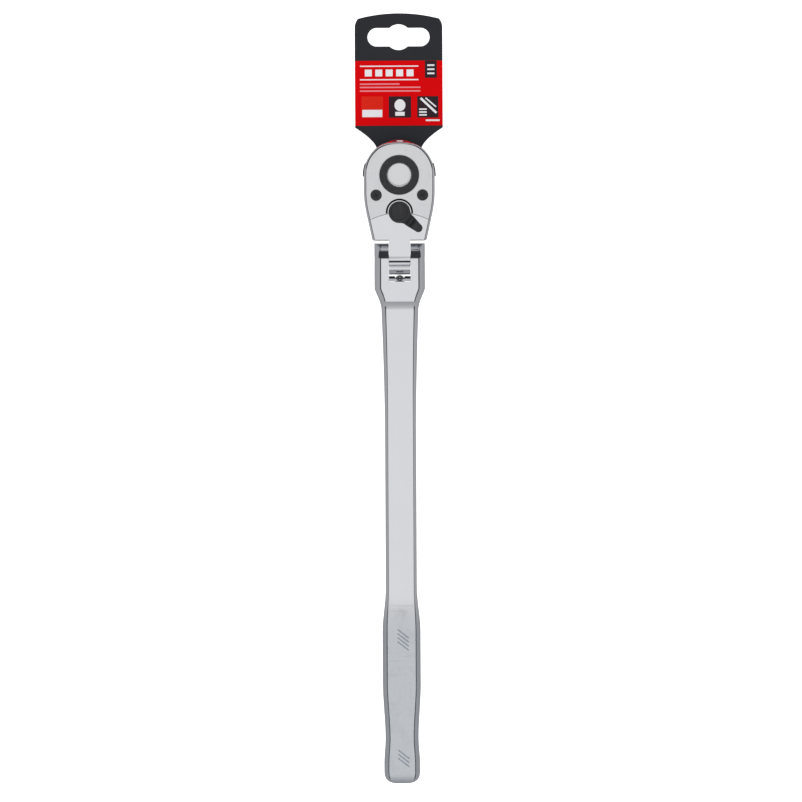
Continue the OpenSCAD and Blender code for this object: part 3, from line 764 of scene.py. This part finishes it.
black_oxide, _, shader, _, _ = new_finish(
    "black oxide", (0.014, 0.0145, 0.017), 0.32, 0.0, metal_wear, Scratches=0.12, Smudges=0.5)
shader.inputs["Specular IOR Level"].default_value = 0.6
for side, label in ((-1, "left"), (1, "right")):
    screw = new_piece(f"cover_screw_{label}", bpy.ops.mesh.primitive_cylinder_add,
                      vertices=72, radius=3.7 * MM, depth=1.4 * MM)
    screw.location = (side * screw_x, screw_y, front_z - 0.8 * MM)
    settle(screw)
    shank = rod_along("z", 1.85 * MM, 11 * MM, (side * screw_x, screw_y, front_z - 6.4 * MM), 32)
    cut(screw, [shank], "UNION")
    cross = [block("blade", (4.4 * MM, 0.8 * MM, 2.0 * MM), (side * screw_x, screw_y, front_z + 0.1 * MM),
                   (0.0, 0.0, math.radians(turn))) for turn in (30, 120)]
    dimple = cone_at("dimple", 0.3 * MM, 1.5 * MM, 1.8 * MM, (side * screw_x, screw_y, front_z - 0.2 * MM), 32)
    cut(screw, cross + [dimple])
    soften(screw, 0.15 * MM, segments=2, angle=40)
    dress(screw, black_oxide)
    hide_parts("cover_screws")
    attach(screw, "head")


# ---------------------------------------------------------------------------
# Thumb ring
# A black-oxide turned ring round the button, with rounded rims.

ring_low, ring_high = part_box("thumb_ring")
ring_radius = (ring_high.x - ring_low.x) / 2
button_low, button_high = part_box("release_button")
button_radius = (button_high.x - button_low.x) / 2
ring = rod_along("z", ring_radius, ring_high.z - ring_low.z, (0, 0, (ring_high.z + ring_low.z) / 2), 160)
ring.name = ring.data.name = "thumb_ring_turned"
cut(ring, [rod_along("z", button_radius + 0.3 * MM, 0.03, (0, 0, ring_high.z), 128)])
# the gear's spigot sits in a step under the ring
cut(ring, [rod_along("z", 10.0 * MM, 0.004, (0, 0, ring_low.z), 128)])
soften(ring, 0.55 * MM, segments=5, angle=50)
dress(ring, black_oxide)
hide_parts("thumb_ring")
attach(ring, "drive")


# ---------------------------------------------------------------------------
# Release button
# A plated disc with a faintly dished, turned face. It rides on the rod.

button_z = (button_high.z + button_low.z) / 2
button = rod_along("z", button_radius, button_high.z - button_low.z, (0, 0, button_z), 128)
button.name = button.data.name = "release_button_turned"
pick(button)
bpy.ops.object.mode_set(mode="EDIT")
bpy.ops.mesh.select_mode(type="FACE")
bpy.ops.mesh.select_all(action="DESELECT")
bpy.ops.object.mode_set(mode="OBJECT")
for face in button.data.polygons:
    face.select = face.normal.z > 0.9
bpy.ops.object.mode_set(mode="EDIT")
bpy.ops.mesh.inset(thickness=0.9 * MM, depth=0.0)
bpy.ops.mesh.inset(thickness=0.3 * MM, depth=-0.08 * MM)
bpy.ops.object.mode_set(mode="OBJECT")
soften(button, 0.3 * MM, segments=4, angle=60)

# Turned steel: fine rings about the drive axis.
turned_steel, tree, _, marks, bump = new_finish(
    "turned button steel", (0.82, 0.82, 0.83), 0.15, 1.0, metal_wear, Scratches=0.2, Smudges=0.2)
place = add_node(tree, "ShaderNodeTexCoord").outputs["Object"]
rings = add_node(tree, "ShaderNodeTexWave", wave_type="RINGS", rings_direction="Z", Scale=900.0)
rings.inputs["Distortion"].default_value = 0.6
rings.inputs["Detail"].default_value = 2.0
tree.links.new(place, rings.inputs["Vector"])
ringed = maths(tree, "MULTIPLY_ADD", rings.outputs["Fac"], 0.4, marks.outputs["Height"])
tree.links.new(ringed, bump.inputs["Height"])
bump.inputs["Distance"].default_value = 0.004 * MM
dress(button, turned_steel)
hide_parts("release_button")
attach(button, "release")


# ---------------------------------------------------------------------------
# Reversing lever
# A black cast lever: a dished round hub and a tapering tail with a scoop
# across its root for the thumb. Its shaft goes down into the head.

lever_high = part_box("reversing_lever")[1]
# the hub's and tip's radii, the reach to the tip's centre, the tail's half-width where
# it starts, the fillets' radius, and how far the lever stands turned, in degrees
HUB, TIP, REACH, ROOT, ROOT_REACH, FILLET, THROW = 7.15, 2.8, 16.2, 3.9, 7.2, 5.0, 49.8


def lever_outline():
    """The lever's outline with its tail along -Y, counter-clockwise from the tail's tip."""
    slope = (ROOT - TIP) / (REACH - ROOT_REACH)
    lean = math.atan(slope)
    # the fillet's centre lies at equal distances from the hub and from the tail's side
    offset = (TIP + FILLET) / math.cos(lean)
    a = 1 + slope**2
    b = 2 * slope * (offset + REACH * slope)
    c = (offset + REACH * slope) ** 2 - (HUB + FILLET) ** 2
    fy = (-b - math.sqrt(b * b - 4 * a * c)) / (2 * a)
    fx = offset + (REACH + fy) * slope
    meet = math.atan2(fy, fx)
    half = []
    for k in range(13):
        t = blend_values(-math.pi / 2, lean, k / 12)
        half.append((TIP * math.cos(t), -REACH + TIP * math.sin(t)))
    for k in range(13):
        t = blend_values(math.pi + lean, math.pi + meet, k / 12)
        half.append((fx + FILLET * math.cos(t), fy + FILLET * math.sin(t)))
    for k in range(1, 37):
        t = blend_values(meet, math.pi / 2, k / 36)
        half.append((HUB * math.cos(t), HUB * math.sin(t)))
    return half + [(-x, y) for x, y in reversed(half[1:-1])]


lever_foot = front_z + 0.15 * MM
lever = flat_piece("lever_casting", lever_outline(), lever_foot, lever_high.z)
bevel = lever.modifiers.new("rim", "BEVEL")
bevel.width = 0.75 * MM
bevel.segments = 5
bevel.limit_method = "ANGLE"
bevel.angle_limit = math.radians(60)
apply_modifiers(lever)
dish = cone_at("dish", 5.2 * MM, 5.9 * MM, 0.9 * MM, (0.0, 0.3 * MM, lever_high.z), 96)
scoop = rod_along("x", 4.4 * MM, 0.03, (0.0, -9.75 * MM, lever_high.z + 3.3 * MM), 128)
cut(lever, [dish, scoop])
stem_z = (lever_foot + pocket_floor) / 2 + 0.5 * MM
stem = rod_along("z", 3.2 * MM, lever_foot - pocket_floor - 0.8 * MM, (0, 0, stem_z), 48)
cut(lever, [stem], "UNION")
soften(lever, 0.22 * MM, segments=3, angle=32)
lever.matrix_world = Matrix.Translation(lever_axis) @ Matrix.Rotation(math.radians(THROW), 4, "Z")
settle(lever)
dress(lever, black_oxide)
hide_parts("reversing_lever")
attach(lever, "lever")


# ---------------------------------------------------------------------------
# Hanging tag
# A moulded black plastic card with a slot for a display hook. Its neck runs
# behind the head, the square goes through it, and two clips hold the head.

plastic_grain, inside, outside = make_group(
    "plastic grain",
    [("Colour", "NodeSocketColor", (0.02, 0.02, 0.02, 1)), ("Roughness", "NodeSocketFloat", 0.5),
     ("Grain", "NodeSocketFloat", 0.5)],
    [("Colour", "NodeSocketColor"), ("Roughness", "NodeSocketFloat"), ("Height", "NodeSocketFloat")])
place = add_node(plastic_grain, "ShaderNodeTexCoord").outputs["Object"]
cloud = noise(plastic_grain, place, 45.0)
speckle = noise(plastic_grain, place, 2600.0, 2.0)
grainy = maths(plastic_grain, "MULTIPLY", speckle, inside.outputs["Grain"])
paled = mix_colours(plastic_grain, remap(plastic_grain, cloud, 0.0, 0.35), inside.outputs["Colour"],
                    (1.5, 1.5, 1.6, 1), "MULTIPLY")
varied = maths(plastic_grain, "MULTIPLY_ADD", cloud, 0.12, inside.outputs["Roughness"])
plastic_grain.links.new(paled, outside.inputs["Colour"])
plastic_grain.links.new(varied, outside.inputs["Roughness"])
plastic_grain.links.new(grainy, outside.inputs["Height"])

tag_low, tag_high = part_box("hang_tag")
label_low, label_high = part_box("tag_label")
tag_half = (label_high.x - label_low.x) / 2 / MM
tag_top_y = tag_high.y / MM
shoulder_y = label_low.y / MM - 1.3
NECK, SWEEP, SWEEP_POWER = 14.4, 15, 1.65
ARCH, ROUND_CORNER = 105.0, 9.5
CLIP_RADIUS, CLIP_LOW, CLIP_HIGH = HEAD_RADIUS + 0.75, -0.4, 8.2
SLOT_Y, SLOT_REACH, SLOT_END, SLOT_EYE = 91.6, 14.4, 6.15, 8.55
SQUARE_HOLE = 9.525


def tag_outline():
    """Right side down from the arched top, round the neck's foot, and back up the left side."""
    right = []
    for k in range(1, 25):
        x = tag_half * math.sin(math.radians(90 * k / 24))
        past = max(0.0, x - tag_half + ROUND_CORNER)
        arch_drop = ARCH - math.sqrt(ARCH**2 - x**2)
        corner_drop = ROUND_CORNER - math.sqrt(max(0.0, ROUND_CORNER**2 - past**2))
        right.append((x, tag_top_y - max(arch_drop, corner_drop)))
    for k in range(0, 17):
        t = 1 - k / 16
        right.append((blend_values(NECK, tag_half, t**SWEEP_POWER), shoulder_y - SWEEP * (1 - t)))
    right.append((NECK, CLIP_HIGH))
    for y in (CLIP_HIGH, 6.0, 4.0, 2.0, 0.0, CLIP_LOW):
        right.append((math.sqrt(CLIP_RADIUS**2 - y**2), y))
    for k in range(0, 19):
        a = math.radians(-1.6 - 88.4 * k / 18)
        right.append((NECK * math.cos(a), NECK * math.sin(a)))
    return list(reversed([(-x, y) for x, y in right[:-1]])) + [(0.0, tag_top_y)] + right


plate_top = label_low.z
tag = flat_piece("tag_moulding", list(reversed(tag_outline())), tag_low.z, plate_top)
eye = (0.0, SLOT_Y * MM, 0.0)
hook_slot = block("hook_slot", (2 * SLOT_REACH * MM, 2 * SLOT_END * MM, 0.02), eye)
for side in (-1, 1):
    slot_end = rod_along("z", SLOT_END * MM, 0.02, (side * SLOT_REACH * MM, SLOT_Y * MM, 0.0))
    cut(hook_slot, [slot_end], "UNION")
cut(hook_slot, [rod_along("z", SLOT_EYE * MM, 0.02, eye, 96)], "UNION")
cut(tag, [hook_slot, rod_along("z", SQUARE_HOLE * MM, 0.02, (0, 0, 0), 96)])
# two clips stand up round the head's sides
clip_height = tag_high.z - tag_low.z
clips = rod_along("z", CLIP_RADIUS * MM, clip_height, (0, 0, tag_low.z + clip_height / 2), 240)
strip = block("strip", (0.08, (CLIP_HIGH - CLIP_LOW) * MM, 0.05), (0.0, (CLIP_HIGH + CLIP_LOW) / 2 * MM, 0.0))
cut(clips, [rod_along("z", (HEAD_RADIUS + 0.1) * MM, 0.05, (0, 0, 0), 240)])
cut(clips, [strip], "INTERSECT")
cut(tag, [clips], "UNION")
soften(tag, 0.3 * MM, segments=3, angle=40)

black_plastic, _, shader, _, _ = new_finish(
    "black moulded plastic", (0.017, 0.0185, 0.024), 0.5, 0.0, plastic_grain, Grain=0.6, bump=0.03 * MM)
shader.inputs["Specular IOR Level"].default_value = 0.35
dress(tag, black_plastic)
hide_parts("hang_tag")
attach(tag, "tag")


# ---------------------------------------------------------------------------
# Printed label
# A gloss card in red with plain printed shapes: squares between two rules, a dark
# badge, three thin bars and three small tiles. None of them says anything.


def box_outline(x0, x1, y0, y1):
    return [(x0, y0), (x1, y0), (x1, y1), (x0, y1)]


def print_finish(name, colour):
    """A gloss ink, faintly grained."""
    finish, _, shader, _, _ = new_finish(name, colour, 0.4, 0.0, plastic_grain, Grain=0.15, bump=0.01 * MM)
    shader.inputs["Specular IOR Level"].default_value = 0.04
    return finish


red_ink = print_finish("red label print", (0.60, 0.0006, 0.0022))
card_top = label_high.z - 0.03 * MM
label = flat_piece("label_card", box_outline(-tag_half, tag_half, label_low.y / MM, label_high.y / MM),
                   label_low.z, card_top)
soften(label, 0.03 * MM, segments=1)
dress(label, red_ink)
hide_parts("tag_label")
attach(label, "tag")


white_ink = print_finish("white ink", (0.72, 0.72, 0.73))
dark_ink = print_finish("dark ink", (0.03, 0.017, 0.022))
orange_ink = print_finish("orange ink", (0.62, 0.018, 0.008))
pink_ink = print_finish("pale red ink", (0.70, 0.22, 0.24))
INK = 0.012 * MM


def print_shape(name, outline, finish, layer=1):
    """A printed shape lying on the card, one ink film per layer."""
    base = card_top + (layer - 1) * INK
    shape = flat_piece(name, outline, base, base + INK)
    dress(shape, finish)
    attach(shape, "tag")
    return shape


def round_outline(x, y, rx, ry, count=40):
    return [(x + rx * math.cos(2 * math.pi * k / count), y + ry * math.sin(2 * math.pi * k / count))
            for k in range(count)]


def bar_outline(x0, y0, x1, y1, width):
    """A straight stroke between two points."""
    along = Vector((x1 - x0, y1 - y0)).normalized()
    side = Vector((-along.y, along.x)) * width / 2
    return [(x0 - side.x, y0 - side.y), (x1 - side.x, y1 - side.y),
            (x1 + side.x, y1 + side.y), (x0 + side.x, y0 + side.y)]


# two rules with a row of plain squares between them
ROW_X0, ROW_X1, ROW_Y0, ROW_Y1, RULE = -25.6, 13.0, 63.1, 72.8, 0.75
print_shape("rule_above", box_outline(ROW_X0, ROW_X1, ROW_Y1 - RULE, ROW_Y1), white_ink)
print_shape("rule_below", box_outline(ROW_X0, ROW_X1, ROW_Y0, ROW_Y0 + RULE), white_ink)
for k in range(5):
    x = ROW_X0 + 3.2 + k * 6.9
    print_shape(f"square_{k}", box_outline(x, x + 4.6, ROW_Y0 + 2.6, ROW_Y1 - 2.6), white_ink)

# the dark badge
print_shape("badge", box_outline(17.3, 25.2, 64.6, 75.9), dark_ink)
for k in range(3):
    y = 67.0 + k * 2.7
    print_shape(f"badge_bar_{k}", box_outline(18.9, 23.6, y, y + 1.1), white_ink, 2)

# three thin bars
for k, (x1, y) in enumerate(((0.4, 60.6), (14.3, 58.4), (14.3, 56.0))):
    print_shape(f"thin_bar_{k}", box_outline(-25.7, x1, y - 0.45, y + 0.45), pink_ink)

# three picture tiles: a bar on orange, a plain round badge on dark, two slanting bars on dark
print_shape("tile_1", box_outline(-24.7, -10.5, 38.3, 52.5), orange_ink)
print_shape("tile_1_bar", box_outline(-24.2, -11.0, 38.8, 43.6), white_ink, 2)
print_shape("tile_2", box_outline(-6.7, 8.1, 38.3, 52.5), dark_ink)
print_shape("tile_2_round", round_outline(0.7, 46.6, 3.6, 3.9), white_ink, 2)
print_shape("tile_2_foot", box_outline(-2.4, 3.8, 39.6, 42.2), white_ink, 2)
print_shape("tile_3", box_outline(12.1, 26.1, 38.3, 52.5), dark_ink)
print_shape("tile_3_stroke_1", bar_outline(14.4, 51.2, 24.8, 41.4, 1.5), white_ink, 2)
print_shape("tile_3_stroke_2", bar_outline(17.6, 51.4, 24.6, 45.4, 0.9), white_ink, 2)
for k in range(3):
    print_shape(f"tile_3_bar_{k}", box_outline(13.4, 18.4, 39.6 + k * 1.9, 40.6 + k * 1.9), white_ink, 2)
print_shape("small_bar", box_outline(17.8, 26.9, 36.0, 37.1), white_ink)


# ---------------------------------------------------------------------------
# Drive, pawl, springs and seals
# Machined steel parts inside the head and fork, and the square drive below it.
# They keep the forms that the frame gives them, and take their metal here.

machined = new_finish("machined steel", (0.62, 0.63, 0.65), 0.2, 1.0, metal_wear, Scratches=0.5, Smudges=0.4)
seal_rubber = new_finish("seal rubber", (0.012, 0.012, 0.012), 0.65, 0.0, plastic_grain, Grain=0.5)
for name in ("flex_pin", "flex_ball", "flex_spring", "pawl", "pawl_pin", "drive_gear", "thrust_washer",
             "release_rod", "release_spring", "socket_ball", "lever_spring", "lever_plunger"):
    dress(nodes[name], machined[0])
for name in ("gear_seal", "lever_seal"):
    dress(nodes[name], seal_rubber[0])
